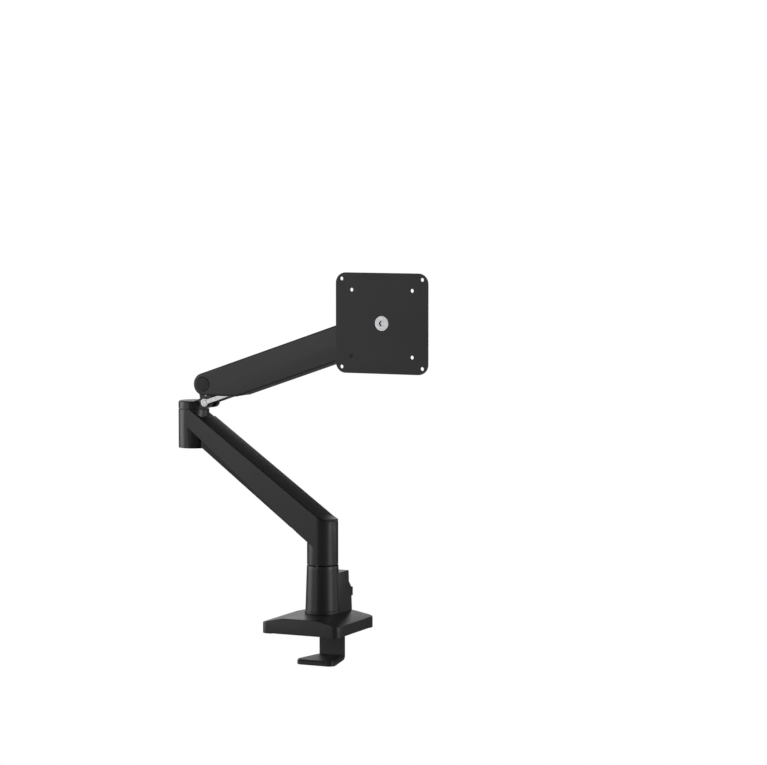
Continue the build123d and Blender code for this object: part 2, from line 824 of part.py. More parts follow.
def make_elbow():
    low = elbow_top + washer_height
    shelf = low + 8.8
    knuckle = rod_z(turret_radius, low, shelf, elbow_x)
    knuckle = fillet(knuckle.edges().sort_by(Axis.Z)[-1], 2.0)
    for cheek in both_sides(cheeks(pivot_x, pivot_z, (4.0, elbow_x + 6, low + 4.2))):
        knuckle += cheek
    knuckle += block(elbow_x, pivot_x - 4, -cheek_outer, cheek_outer, low + 0.2, low + 6)
    spindle_low = elbow_bottom + 6.8
    knuckle += rod_z(spindle_radius, spindle_low, low + 1, elbow_x)
    knuckle -= rod_z(3.0, spindle_low, spindle_low + 20, elbow_x)
    knuckle = pivot_bores(knuckle, pivot_x, pivot_z)
    knuckle -= rod_y(strut_pin_radius, -40, 40, pivot_x, pivot_z - strut_drop)
    keep("elbow_knuckle", knuckle)

    washer = rod_z(12.0, spindle_low - 2, spindle_low, elbow_x)
    washer -= rod_z(3.0, spindle_low - 2, spindle_low, elbow_x)
    keep("elbow_retainer", washer)
    screw = rod_z(3.0, spindle_low - 2, spindle_low + 20, elbow_x)
    screw += rod_z(5.5, spindle_low - 6, spindle_low - 2, elbow_x)
    screw -= Pos(elbow_x, 0, spindle_low - 6) * extrude(RegularPolygon(2.9, 6), amount=2.5)
    keep("elbow_screw", screw)

    pin_end = link_half_width - 0.9
    keep("elbow_pivot_pin", rod_y(pivot_pin_radius, -pin_end, pin_end, pivot_x, pivot_z))
    keep("strut_pin", rod_y(strut_pin_radius, -cheek_outer, cheek_outer, pivot_x, pivot_z - strut_drop))
    stub = rod_y(tie_pin_radius, cheek_inner + 0.4, tie_bar_outer + 0.3, pivot_x, tie_z)
    keep("elbow_tie_pins", *both_sides(stub))


# ---- spring link, drawn along X with its elbow pivot at the origin ----
def link_outline(y0, y1):
    """The link's side outline: round ends about both pivots, and a deeper belly between them."""
    belly_radius = 3.0
    belly = link_bottom + belly_radius
    edges = [*edges_of_circle(link_end_radius, (0, link_top - link_end_radius))]
    edges += edges_of_circle(link_end_radius, (link_length, link_top - link_end_radius))
    edges += edges_of_circle(belly_radius, (link_belly_inset, belly))
    edges += edges_of_circle(belly_radius, (link_length - link_belly_inset, belly))
    return Pos(0, y1, 0) * extrude(Plane.XZ * make_hull(edges), amount=y1 - y0)


def make_link():
    outer = link_outline(-link_half_width, link_half_width)
    rims = outer.edges().filter_by(lambda e: abs(abs(e.center().Y) - link_half_width) < 0.1)
    beam = fillet(rims, 2.2)
    inner_half = link_half_width - link_wall
    inner_top = link_top - link_wall
    beam -= block(-40, link_length + 40, -inner_half, inner_half, -60, inner_top)
    beam -= block(-40, -4, -inner_half, inner_half, -60, 60)
    beam -= block(link_length - 4, link_length + 40, -inner_half, inner_half, -60, 60)
    rib_to = rib_from + rib_thickness
    rib = block(rib_from, rib_to, -inner_half, inner_half, -14, inner_top)
    rib -= rod_x(tension_screw_radius + 0.3, rib_from - 1, rib_to + 1, 0, tension_screw_w)
    slot_inner = tie_bar_outer - tie_bar_thickness - 0.8
    slot_outer = tie_bar_outer + 0.6
    for slot in both_sides(block(rib_from - 1, rib_to + 1, slot_inner, slot_outer, -60, -11)):
        rib -= slot
    beam += rib
    for u in (0.0, link_length):
        beam -= rod_y(pivot_bush_radius, -40, 40, u, 0)
        beam -= rod_y(pivot_cap_radius, link_half_width - 0.8, 40, u, 0)
        beam -= rod_y(pivot_cap_radius, -40, -link_half_width + 0.8, u, 0)
    cover_from = link_belly_inset
    cover_to = link_length - link_belly_inset
    beam -= block(cover_from, cover_to, -inner_half, inner_half, link_bottom - 1, link_bottom + 2)
    keep("link_beam", on_link(beam))

    half = inner_half - 0.1
    cover = block(cover_from, cover_to, -half, half, link_bottom + 0.2, link_bottom + 2)
    cover = fillet(cover.edges().filter_by(Axis.Z), 0.6)
    keep("link_bottom_cover", on_link(cover))

    bushes = []
    caps = []
    for u in (0.0, link_length):
        bush = rod_y(pivot_bush_radius, inner_half, link_half_width - 0.8, u, 0)
        bush -= rod_y(pivot_pin_radius + running_gap, 0, 40, u, 0)
        cap = rod_y(pivot_cap_radius - 0.1, link_half_width - 0.8, link_half_width + 0.5, u, 0)
        cap = fillet(cap.edges().sort_by(Axis.Y)[-1], 0.6)
        bushes += both_sides(bush)
        caps += both_sides(cap)
    keep("pivot_bushes", *[on_link(s) for s in bushes])
    keep("pivot_caps", *[on_link(s) for s in caps])

    bars = []
    bar_inner = tie_bar_outer - tie_bar_thickness
    bar = block(0, link_length, bar_inner, tie_bar_outer, -tie_bar_half, tie_bar_half)
    for u in (0.0, link_length):
        bar += rod_y(4.8, bar_inner, tie_bar_outer, u, 0)
        bar -= rod_y(tie_pin_radius + running_gap, 0, 40, u, 0)
    for one in both_sides(bar):
        bars.append(Pos(pivot_x, 0, tie_z) * Rot(0, -link_rise, 0) * one)
    keep("tie_bars", *bars)


def make_strut():
    w = -strut_w()
    eye_u = -strut_drop * math.sin(rise)
    eye_half = cheek_inner - 0.8
    eye = rod_y(eye_radius, -eye_half, eye_half, eye_u, w)
    eye += rod_x(4.2, eye_u, eye_u + 12, 0, w) & block(-20, 30, -eye_half, eye_half, w - 9, w + 9)
    eye -= rod_y(strut_pin_radius + eye_clearance, -20, 20, eye_u, w)
    eye -= rod_x(2.5, eye_u + 8, eye_u + 13, 0, w)
    keep("rod_eye", on_link(eye))

    rod_from = eye_u + 12
    bore = strut_cylinder_radius - strut_wall
    rod = rod_x(strut_rod_radius, rod_from, piston_at, 0, w)
    rod += rod_x(2.5, rod_from - 4, rod_from, 0, w)
    rod += rod_x(bore - 0.1, piston_at - piston_half, piston_at + piston_half, 0, w)
    keep("strut_rod", on_link(rod))

    tube = rod_x(strut_cylinder_radius, strut_from, strut_to, 0, w)
    tube -= rod_x(bore, strut_from + strut_cap, strut_to - 4, 0, w)
    tube -= rod_x(strut_rod_radius + 0.1, strut_from - 1, strut_from + strut_cap + 1, 0, w)
    keep("strut_cylinder", on_link(tube))

    carriage_to = strut_to + carriage_length
    carriage_top = link_top - link_wall - 0.4
    carriage = block(strut_to, carriage_to, -carriage_half, carriage_half, w - 8.5, carriage_top)
    carriage -= rod_x(tension_screw_radius + running_gap, strut_to - 1, carriage_to + 1, 0, tension_screw_w)
    keep("tension_carriage", on_link(carriage))

    seat = rib_from + rib_thickness + 0.3
    screw = rod_x(tension_screw_radius, strut_to - 12, seat, 0, tension_screw_w)
    screw += rod_x(hex_head_radius, seat, seat + hex_head_height, 0, tension_screw_w)
    socket = Pos(seat + 1.3, 0, tension_screw_w) * Rot(0, 90, 0) * extrude(RegularPolygon(1.73, 6), amount=3)
    keep("tension_screw", on_link(screw - socket))


def strut_w():
    """How far below the pivot line the strut runs: the middle of its lower pin's height over the lift."""
    low = math.radians(link_rise + lift_low)
    high = math.radians(link_rise + lift_high)
    least = min(math.cos(low), math.cos(high))
    return strut_drop * (1 + least) / 2


# ---- head ----
def make_head():
    knuckle = rod_z(pan_radius, knuckle_bottom, knuckle_top, pan_x)
    knuckle = fillet(knuckle.edges().sort_by(Axis.Z)[0], 1.5)
    for cheek in both_sides(cheeks(head_x, head_z, (5.0, pan_x - 6, knuckle_bottom + 7))):
        knuckle += cheek - block(pan_x - pan_radius - 1, pan_x + 30, -40, 40, knuckle_top, knuckle_top + 60)
    knuckle += block(head_x + 2, pan_x, -cheek_outer, cheek_outer, knuckle_bottom + 2, knuckle_top - 4)
    knuckle -= rod_z(pan_bush_radius, knuckle_bottom, knuckle_top + 1, pan_x)
    knuckle -= rod_z(10.5, knuckle_bottom - 1, knuckle_bottom + 6, pan_x)
    knuckle = pivot_bores(knuckle, head_x, head_z)
    keep("end_knuckle", knuckle)
    low = knuckle_bottom + 6
    spots = [(low + 0.3, low + 7.3), (knuckle_top - 7.5, knuckle_top - 0.5)]
    bearing("pan_bushes", spots, pan_spindle_radius, pan_bush_radius, pan_x)
    ring = rod_z(13.5, knuckle_top, yoke_bottom - 0.05, pan_x)
    ring -= rod_z(pan_spindle_radius + 0.3, knuckle_top, yoke_bottom, pan_x)
    keep("pan_washer", ring)
    pin_end = link_half_width - 0.9
    keep("head_pivot_pin", rod_y(pivot_pin_radius, -pin_end, pin_end, head_x, head_z))
    stub = rod_y(tie_pin_radius, cheek_inner + 0.4, tie_bar_outer + 0.3, head_x, head_z - tie_drop)
    keep("head_tie_pins", *both_sides(stub))

    yoke = rod_z(pan_radius, yoke_bottom, yoke_top, pan_x)
    yoke += block(pan_x - ear_outer + 1, pan_x + ear_outer - 1, tilt_y, 0, yoke_bottom, yoke_top)
    half = yoke_height / 2
    ears = rod_x(half, pan_x - ear_outer, pan_x + ear_outer, tilt_y, tilt_z)
    ears += block(pan_x - ear_outer, pan_x + ear_outer, tilt_y, -12, yoke_bottom, yoke_top)
    yoke += ears
    slot = tilt_radius + 1.0
    yoke -= block(pan_x - ear_inner, pan_x + ear_inner, tilt_y - 30, tilt_y + slot, 0, 999)
    yoke -= rod_x(tilt_bolt_radius, 0, 300, tilt_y, tilt_z)
    spindle_low = low - 0.2
    yoke += rod_z(pan_spindle_radius, spindle_low, yoke_bottom + 1, pan_x)
    yoke -= rod_z(2.5, spindle_low, spindle_low + 14, pan_x)
    keep("pan_yoke", yoke)
    washer = rod_z(9.5, spindle_low - 1.6, spindle_low, pan_x) - rod_z(2.5, 0, 999, pan_x)
    keep("pan_retainer", washer)
    screw = rod_z(2.5, spindle_low - 1.6, spindle_low + 14, pan_x)
    screw += rod_z(4.5, spindle_low - 4.6, spindle_low - 1.6, pan_x)
    screw -= Pos(pan_x, 0, spindle_low - 4.6) * extrude(RegularPolygon(2.3, 6), amount=1.8)
    keep("pan_screw", screw)

    tilt = rod_x(tilt_radius, pan_x - ear_inner + 0.6, pan_x + ear_inner - 0.6, tilt_y, tilt_z)
    neck_half = ear_inner - 0.6
    rotor_back = face_y + vesa_plate_thickness + 3.5
    tilt += block(pan_x - neck_half, pan_x + neck_half, rotor_back + 2, tilt_y, tilt_z - 9, tilt_z + 9)
    tilt += rod_y(rotor_radius - 4, rotor_back, rotor_back + 3.5, pan_x, tilt_z)
    tilt -= rod_x(tilt_bolt_radius + running_gap, 0, 300, tilt_y, tilt_z)
    tilt -= rod_y(rotate_bolt_radius + 0.1, rotor_back - 1, tilt_y - 5, pan_x, tilt_z)
    nut_y = rotor_back + 4.5
    tilt -= block(pan_x - 8, pan_x + 8, nut_y, nut_y + 5.4, tilt_z - 8, tilt_z + 30)
    keep("tilt_block", tilt)
    discs = []
    for x0 in (pan_x - ear_inner, pan_x + ear_inner - 0.5):
        disc = rod_x(8.5, x0, x0 + 0.5, tilt_y, tilt_z)
        discs.append(disc - rod_x(tilt_bolt_radius, 0, 300, tilt_y, tilt_z))
    keep("tilt_washers", *discs)
    bolt = rod_x(tilt_bolt_radius, pan_x - ear_outer, pan_x + ear_outer + 7, tilt_y, tilt_z)
    bolt += rod_x(6.5, pan_x - ear_outer - 4, pan_x - ear_outer, tilt_y, tilt_z)
    hexagon = Rot(0, 90, 0) * extrude(RegularPolygon(2.9, 6), amount=2.4)
    keep("tilt_bolt", bolt - Pos(pan_x - ear_outer - 4, tilt_y, tilt_z) * hexagon)
    nut = Pos(pan_x + ear_outer, tilt_y, tilt_z) * Rot(0, 90, 0) * extrude(RegularPolygon(7.5, 6), amount=6)
    keep("tilt_nut", nut - rod_x(tilt_bolt_radius, 0, 300, tilt_y, tilt_z))

    outline = RectangleRounded(vesa_plate_width, vesa_plate_width, vesa_corner)
    plate = extrude(outline, amount=vesa_plate_thickness)
    plate = Pos(pan_x, face_y, tilt_z) * Rot(-90, 0, 0) * plate
    plate += rod_y(rotor_radius, face_y + 1, rotor_back - washer_height, pan_x, tilt_z)
    for half in (vesa_wide / 2, vesa_narrow / 2):
        for x in (pan_x - half, pan_x + half):
            for z in (tilt_z - half, tilt_z + half):
                plate -= rod_y(vesa_hole_radius, face_y - 1, face_y + 9, x, z)
    plate -= rod_y(rotate_bolt_radius + running_gap, face_y - 1, face_y + 20, pan_x, tilt_z)
    plate -= rod_y(9.0, face_y - 1, face_y + 3.0, pan_x, tilt_z)
    keep("vesa_plate", plate)
    ring = rod_y(rotor_radius - 4.5, rotor_back - washer_height, rotor_back - 0.05, pan_x, tilt_z)
    keep("rotate_washer", ring - rod_y(rotate_bolt_radius, -99, 99, pan_x, tilt_z))
    bolt = rod_y(rotate_bolt_radius, face_y + 3.0, nut_y + 5.2, pan_x, tilt_z)
    bolt += rod_y(8.5, face_y + 0.4, face_y + 3.0, pan_x, tilt_z)
    bolt -= Pos(pan_x, face_y + 0.4, tilt_z) * Rot(-90, 0, 0) * extrude(RegularPolygon(3.5, 6), amount=2)
    keep("rotate_bolt", bolt)
    ring = rod_y(7.4, nut_y + 0.2, nut_y + 5.2, pan_x, tilt_z)
    keep("rotate_nut", ring - rod_y(rotate_bolt_radius, -99, 99, pan_x, tilt_z))


make_base()
make_base_parts()
make_post()
make_housing()
make_clamp()
make_riser()
make_riser_bearings()
make_elbow()
make_link()
make_strut()
make_head()

os.makedirs("parts", exist_ok=True)
for name, solid in parts.items():
    export_step(solid, f"parts/{name}.step")
print(len(parts), "nodes")
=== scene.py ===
import json
import math

import bmesh
import bpy
import numpy as np
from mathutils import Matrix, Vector


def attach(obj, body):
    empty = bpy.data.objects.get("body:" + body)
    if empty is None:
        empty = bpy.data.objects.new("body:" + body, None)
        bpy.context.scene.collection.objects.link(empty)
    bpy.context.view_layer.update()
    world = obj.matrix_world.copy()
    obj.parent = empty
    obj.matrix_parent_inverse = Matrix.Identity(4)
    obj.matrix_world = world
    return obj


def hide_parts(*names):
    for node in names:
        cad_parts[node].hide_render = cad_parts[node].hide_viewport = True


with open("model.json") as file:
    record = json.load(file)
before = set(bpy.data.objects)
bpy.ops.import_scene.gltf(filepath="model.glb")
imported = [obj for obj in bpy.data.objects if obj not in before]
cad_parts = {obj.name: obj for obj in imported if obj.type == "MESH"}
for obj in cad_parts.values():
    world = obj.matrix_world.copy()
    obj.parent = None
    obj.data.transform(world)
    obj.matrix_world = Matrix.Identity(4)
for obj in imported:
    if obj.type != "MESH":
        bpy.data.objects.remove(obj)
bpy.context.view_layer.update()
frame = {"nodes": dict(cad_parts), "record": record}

MM = 0.001

# ---------------------------------------------------------------- camera, light and floor
VIEW_AZIMUTH = 24.804
VIEW_DROP = 4.32
VIEW_DISTANCE = 3.35
VIEW_TARGET = (0.0441, 0.0741, 0.2848)
LENS = 133.2
SENSOR_WIDTH = 36.0
FAR_CLIP = 60.0

# Soft boxes: azimuth 0 stands on the user's side and grows towards +X.
LIGHT_AIM = (0.0, 0.0, 0.2)
SOFT_BOXES = {
    "left_box": {"azimuth": -74.0, "height": 0.55, "distance": 2.4, "size": (1.7, 1.6), "power": 30.0},
    "front_left_box": {"azimuth": -28.0, "height": 0.5, "distance": 3.0, "size": (0.9, 1.4), "power": 11.0},
    "right_box": {"azimuth": 84.0, "height": 0.6, "distance": 2.4, "size": (0.8, 1.5), "power": 24.0},
    "right_back_box": {"azimuth": 128.0, "height": 0.5, "distance": 2.6, "size": (0.9, 1.4), "power": 7.0},
    "back_box": {"azimuth": 222.0, "height": 0.8, "distance": 2.6, "size": (2.6, 1.3), "power": 11.5},
}
SEEN_SURROUND = (1.0, 1.0, 1.0, 1.0)
FELT_SURROUND = (0.075, 0.075, 0.078, 1.0)

FLOOR_HEIGHT = -0.5
FLOOR_RADIUS = 40.0
FLOOR_SIDES = 96
FLOOR_TONE = (0.6, 0.6, 0.6, 1.0)
FLOOR_GLOW = 5.0
# The floor's share of glow under the arm: less glow there is a painted shade, and the plain part mixed in
# takes the lamps' real shade.
PAINTED_SHADE_GLOW_SHARE = 0.8


def place_camera():
    """A long lens, a little above the arm and to the right of its front."""
    azimuth, drop = math.radians(VIEW_AZIMUTH), math.radians(VIEW_DROP)
    level = math.cos(drop)
    forward = np.array([-math.sin(azimuth) * level, math.cos(azimuth) * level, -math.sin(drop)])
    camera = bpy.data.objects.new("camera", bpy.data.cameras.new("camera"))
    camera.location = np.array(VIEW_TARGET) - VIEW_DISTANCE * forward
    camera.rotation_euler = (math.pi / 2 - drop, 0.0, azimuth)
    camera.data.lens = LENS
    camera.data.sensor_width = SENSOR_WIDTH
    camera.data.clip_end = FAR_CLIP
    bpy.context.scene.collection.objects.link(camera)
    bpy.context.scene.camera = camera


def soft_light(name, azimuth, height, distance, size, power):
    """A soft box that lights but isn't seen."""
    angle = math.radians(azimuth)
    light = bpy.data.lights.new(name, "AREA")
    light.shape = "RECTANGLE"
    light.size, light.size_y = size
    light.energy = power
    box = bpy.data.objects.new(name, light)
    x, y = distance * math.sin(angle), -distance * math.cos(angle)
    box.location = (LIGHT_AIM[0] + x, LIGHT_AIM[1] + y, height)
    box.rotation_euler = (Vector(box.location) - Vector(LIGHT_AIM)).to_track_quat("Z", "Y").to_euler()
    box.visible_camera = False
    bpy.context.scene.collection.objects.link(box)


def light_studio():
    """The soft boxes, and a surround that is seen white. The arm feels it dim at the sides and brighter
    from below, as from a pale floor."""
    for name, box in SOFT_BOXES.items():
        soft_light(name, **box)
    world = bpy.data.worlds.new("studio")
    world.use_nodes = True
    world.node_tree.nodes.clear()
    tree = Tree(world.node_tree)
    toward = tree.add("ShaderNodeTexCoord", {}, {}, "Generated")
    rise = tree.add("ShaderNodeSeparateXYZ", {}, {0: toward}, "Z")
    sockets = {"Value": rise, "From Min": -0.25, "From Max": -0.6, "To Min": 1.0, "To Max": FLOOR_GLOW}
    below = tree.add("ShaderNodeMapRange", {}, sockets)
    seen = tree.add("ShaderNodeBackground", {}, {"Color": SEEN_SURROUND})
    felt = tree.add("ShaderNodeBackground", {}, {"Color": FELT_SURROUND, "Strength": below})
    by_camera = tree.add("ShaderNodeLightPath", {}, {}, "Is Camera Ray")
    either = tree.add("ShaderNodeMixShader", {}, {0: by_camera, 1: felt, 2: seen})
    tree.add_end("ShaderNodeOutputWorld", {"Surface": either})
    bpy.context.scene.world = world
    bpy.context.scene.view_settings.view_transform = "Standard"


# ---------------------------------------------------------------- shader maths
class Value:
    """One link in a node tree. Arithmetic on it adds Math nodes."""

    def __init__(self, tree, socket):
        self.tree, self.socket = tree, socket

    def maths(self, operation, first, second):
        return self.tree.add("ShaderNodeMath", {"operation": operation}, {0: first, 1: second})

    def __add__(self, other):
        return self.maths("ADD", self, other)

    def __radd__(self, other):
        return self.maths("ADD", other, self)

    def __sub__(self, other):
        return self.maths("SUBTRACT", self, other)

    def __rsub__(self, other):
        return self.maths("SUBTRACT", other, self)

    def __mul__(self, other):
        return self.maths("MULTIPLY", self, other)

    def __rmul__(self, other):
        return self.maths("MULTIPLY", other, self)

    def smooth(self, low, high):
        """0 below low, 1 above high, and an even curve between."""
        settings = {"interpolation_type": "SMOOTHSTEP"}
        sockets = {"Value": self, "From Min": low, "From Max": high, "To Min": 0.0, "To Max": 1.0}
        return self.tree.add("ShaderNodeMapRange", settings, sockets)


class Tree:
    """A node tree whose nodes are added by one method."""

    def __init__(self, node_tree):
        self.nodes, self.links = node_tree.nodes, node_tree.links

    def add_end(self, kind, sockets, settings=None):
        """Any node: its type, the values or links of its sockets, and its settings."""
        node = self.nodes.new(kind)
        for key, value in (settings or {}).items():
            setattr(node, key, value)
        for key, value in sockets.items():
            if isinstance(value, Value):
                self.links.new(value.socket, node.inputs[key])
            else:
                node.inputs[key].default_value = value
        return node

    def add(self, kind, settings, sockets, output=0):
        """Any node, given back as the value of one of its outputs."""
        return Value(self, self.add_end(kind, sockets, settings).outputs[output])


class Finish(Tree):
    """A material built from node expressions on one Principled shader."""

    def __init__(self, name, **constants):
        self.material = bpy.data.materials.new(name)
        self.material.use_nodes = True
        super().__init__(self.material.node_tree)
        self.shader = next(n for n in self.nodes if n.type == "BSDF_PRINCIPLED")
        self.place = self.add("ShaderNodeTexCoord", {}, {}, "Object")
        for socket, value in constants.items():
            self.shader.inputs[socket.replace("_", " ")].default_value = value

    def noise(self, scale, detail=2.0, roughness=0.5, place=None):
        sockets = {"Vector": place or self.place, "Scale": scale, "Detail": detail, "Roughness": roughness}
        return self.add("ShaderNodeTexNoise", {}, sockets, "Fac")

    def stretched(self, x, y, z):
        """The object's place, squeezed along each axis, for brushed and drawn marks."""
        return self.add("ShaderNodeMapping", {}, {"Vector": self.place, "Scale": (x, y, z)})

    def blend(self, share, low, high):
        """A colour between two colours."""
        sockets = {0: share, 6: (*low, 1.0), 7: (*high, 1.0)}
        return self.add("ShaderNodeMix", {"data_type": "RGBA"}, sockets, 2)

    def feed(self, socket, value):
        self.links.new(value.socket, self.shader.inputs[socket])

    def bump(self, height, depth):
        """Raises the surface by a height of at most a depth in metres."""
        self.feed("Normal", self.add("ShaderNodeBump", {}, {"Height": height, "Distance": depth}, "Normal"))


def lighter(tone, gain):
    """A tone brightened by a gain, and never past white."""
    return tuple(min(1.0, gain * c) for c in tone)


def powder_coat(name, tone, roughness, grain):
    """Satin powder coat: fine orange peel, faint clouding, and a dusting that dulls it in places."""
    finish = Finish(name, Specular_IOR_Level=0.5)
    peel = finish.noise(scale=900.0, detail=1.0)
    fine = finish.noise(scale=3600.0, roughness=0.6)
    cloud = finish.noise(scale=22.0, detail=3.0, roughness=0.55)
    share = cloud.smooth(0.3, 0.75) * 0.6 + fine * 0.25
    finish.feed("Base Color", finish.blend(share, tone, lighter(tone, 1.35)))
    finish.feed("Roughness", roughness + (cloud - 0.5) * 0.10 + (fine - 0.5) * 0.12)
    finish.bump(peel * 0.6 + fine * 0.4, grain * MM)
    return finish.material


def moulded_plastic(name, tone, roughness, grain):
    """Spark-eroded texture of a moulding: close rounded pits, a little uneven in depth."""
    finish = Finish(name, Specular_IOR_Level=0.45)
    sockets = {"Vector": finish.place, "Scale": 1500.0}
    pits = finish.add("ShaderNodeTexVoronoi", {"feature": "SMOOTH_F1"}, sockets, "Distance")
    fine = finish.noise(scale=4200.0)
    cloud = finish.noise(scale=30.0)
    share = cloud.smooth(0.35, 0.7) * 0.5 + fine * 0.3
    finish.feed("Base Color", finish.blend(share, tone, lighter(tone, 1.4)))
    finish.feed("Roughness", roughness + (fine - 0.5) * 0.14 + (cloud - 0.5) * 0.06)
    finish.bump(pits * 0.7 + fine * 0.3, grain * MM)
    return finish.material


def rubber(name, tone, bloom_tone, roughness, grain):
    """Smooth moulded rubber with a faint bloom and a fine grain."""
    finish = Finish(name, Specular_IOR_Level=0.5)
    fine = finish.noise(scale=2400.0, detail=3.0, roughness=0.7)
    bloom = finish.noise(scale=60.0, detail=3.0, roughness=0.6)
    finish.feed("Base Color", finish.blend(bloom.smooth(0.45, 0.8) * 0.7, tone, bloom_tone))
    finish.feed("Roughness", roughness + (fine - 0.5) * 0.16)
    finish.bump(fine, grain * MM)
    return finish.material


def plated_steel(name, tone, roughness, grain):
    """Zinc-plated steel with turning or drawing marks along Y and faint stains."""
    finish = Finish(name, Metallic=1.0)
    marks = finish.noise(scale=1.0, detail=3.0, roughness=0.6, place=finish.stretched(260.0, 5200.0, 260.0))
    stain = finish.noise(scale=70.0, detail=3.0, roughness=0.55)
    share = stain.smooth(0.3, 0.7) * 0.6 + marks * 0.4
    finish.feed("Base Color", finish.blend(share, tone, lighter(tone, 1.3)))
    finish.feed("Roughness", roughness + (marks - 0.5) * 0.16 + (stain - 0.5) * 0.12)
    finish.bump(marks, grain * MM)
    return finish.material


def hard_chrome(name, tone, bright_tone):
    """Ground and chromed rod with very faint grinding rings."""
    finish = Finish(name, Metallic=1.0)
    rings = finish.noise(scale=1.0, place=finish.stretched(5200.0, 120.0, 5200.0))
    finish.feed("Base Color", finish.blend(rings, tone, bright_tone))
    finish.feed("Roughness", 0.08 + rings * 0.08)
    return finish.material


def bearing_plastic(name, tone, wax_tone, grain):
    """Dark self-lubricating plastic, waxy where it rubs."""
    finish = Finish(name, Specular_IOR_Level=0.4)
    wax = finish.noise(scale=140.0)
    fine = finish.noise(scale=3000.0)
    finish.feed("Base Color", finish.blend(wax, tone, wax_tone))
    finish.feed("Roughness", 0.4 + wax * 0.2)
    finish.bump(fine, grain * MM)
    return finish.material


CAST_BLACK = (0.0165, 0.0165, 0.0175)
WAXY_BLACK = (0.02, 0.02, 0.022)
WAX_SHEEN = (0.045, 0.045, 0.05)
FINISHES = {
    "black_casting": powder_coat("satin_black_casting", CAST_BLACK, 0.38, grain=0.03),
    "black_shell": powder_coat("satin_black_shell", CAST_BLACK, 0.40, grain=0.028),
    "black_plate": powder_coat("satin_black_plate", (0.016, 0.016, 0.017), 0.46, grain=0.04),
    "black_plastic": moulded_plastic("black_moulding", (0.014, 0.014, 0.0148), 0.55, grain=0.05),
    "rubber": rubber("black_rubber", (0.012, 0.012, 0.012), (0.03, 0.029, 0.028), 0.47, grain=0.02),
    "steel": plated_steel("plated_steel", (0.42, 0.42, 0.43), 0.34, grain=0.012),
    "chrome_rod": hard_chrome("chromed_rod", (0.62, 0.63, 0.65), (0.74, 0.75, 0.76)),
    "strut_paint": powder_coat("strut_paint", (0.01, 0.01, 0.0105), 0.25, grain=0.01),
    "bearing_plastic": bearing_plastic("bearing_plastic", WAXY_BLACK, WAX_SHEEN, grain=0.02),
}

SLOT_OF = {s["node"]: s["material_slot"] for s in frame["record"]["subparts"]}
BODY_OF = {n: b for b, ns in frame["record"]["behaviour"]["bodies"].items() for n in ns}


def dress_nodes():
    """Gives every CAD node the finish of its slot."""
    for name, node in frame["nodes"].items():
        node.data.materials.clear()
        node.data.materials.append(FINISHES[SLOT_OF[name]])


# ---------------------------------------------------------------- pieces
SHARP_ANGLE = 40.0
WELD_DISTANCE = 1e-6


def put(name, mesh, node):
    """Links a mesh as a piece that takes the place, the body and the finish of a CAD node."""
    piece = bpy.data.objects.new(name, mesh)
    bpy.context.scene.collection.objects.link(piece)
    slot = SLOT_OF[node]
    mesh.materials.append(FINISHES[slot])
    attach(piece, BODY_OF[node])
    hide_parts(node)
    return piece


# The bevel that breaks each casting's, shell's and fitting's edges, in millimetres.
BROKEN_EDGES = {
    "base_casting": 0.5,
    "post_shell": 0.3,
    "rear_housing": 0.3,
    "housing_screws": 0.1,
    "latch_bar": 0.25,
    "clamp_bracket": 0.4,
    "foot_pad": 0.3,
    "riser_casting": 0.5,
    "riser_cable_cover": 0.2,
    "elbow_knuckle": 0.5,
    "link_beam": 0.3,
    "link_bottom_cover": 0.3,
    "pivot_caps": 0.1,
    "tie_bars": 0.3,
    "end_knuckle": 0.5,
    "pan_yoke": 0.6,
    "tilt_block": 0.5,
    "tilt_bolt": 0.3,
    "tilt_nut": 0.3,
    "vesa_plate": 0.4,
    "rotate_bolt": 0.2,
}
BEVEL_ANGLE = 32.0
BEVEL_SEGMENTS = 3
SEAM_DISTANCE = 2e-6
FLAT_ANGLE = 0.002


def finished_copy(node, bevel):
    """A copy of a CAD node with its seams merged, its flats made whole and its edges broken by a bevel."""
    work = bmesh.new()
    work.from_mesh(frame["nodes"][node].data)
    bmesh.ops.remove_doubles(work, verts=work.verts, dist=SEAM_DISTANCE)
    bmesh.ops.dissolve_limit(work, angle_limit=FLAT_ANGLE, verts=work.verts, edges=work.edges)
    for face in work.faces:
        face.smooth = True
    mesh = bpy.data.meshes.new(node + "_finished")
    work.to_mesh(mesh)
    work.free()
    mesh.set_sharp_from_angle(angle=math.radians(BEVEL_ANGLE))
    edge = put(node + "_finished", mesh, node).modifiers.new("broken_edges", "BEVEL")
    edge.width = bevel * MM
    edge.segments = BEVEL_SEGMENTS
    edge.limit_method = "ANGLE"
    edge.angle_limit = math.radians(BEVEL_ANGLE)
    edge.use_clamp_overlap = True
    edge.harden_normals = True


def closed_mesh(name, grids, ring):
    """One mesh of closed grids of points, in millimetres. Every row is a loop. A ring's last row meets its
    first, and any other grid has a face on each end."""
    points, faces, start = [], [], 0
    for grid in grids:
        rows, columns = grid.shape[:2]
        index = start + np.arange(rows * columns).reshape(rows, columns)
        right, ahead = np.roll(index, -1, axis=1), np.roll(index, -1, axis=0)
        quads = np.stack([index, right, np.roll(right, -1, axis=0), ahead], axis=-1)
        faces += quads[: rows if ring else rows - 1].reshape(-1, 4).tolist()
        if not ring:
            faces += [index[0, ::-1].tolist(), index[-1].tolist()]
        points.append(grid.reshape(-1, 3) * MM)
        start += rows * columns
    mesh = bpy.data.meshes.new(name)
    mesh.from_pydata(np.concatenate(points).tolist(), [], faces)
    work = bmesh.new()
    work.from_mesh(mesh)
    bmesh.ops.remove_doubles(work, verts=work.verts, dist=WELD_DISTANCE)
    bmesh.ops.recalc_face_normals(work, faces=work.faces)
    for face in work.faces:
        face.smooth = True
    work.to_mesh(mesh)
    work.free()
    mesh.set_sharp_from_angle(angle=math.radians(SHARP_ANGLE))
    return mesh


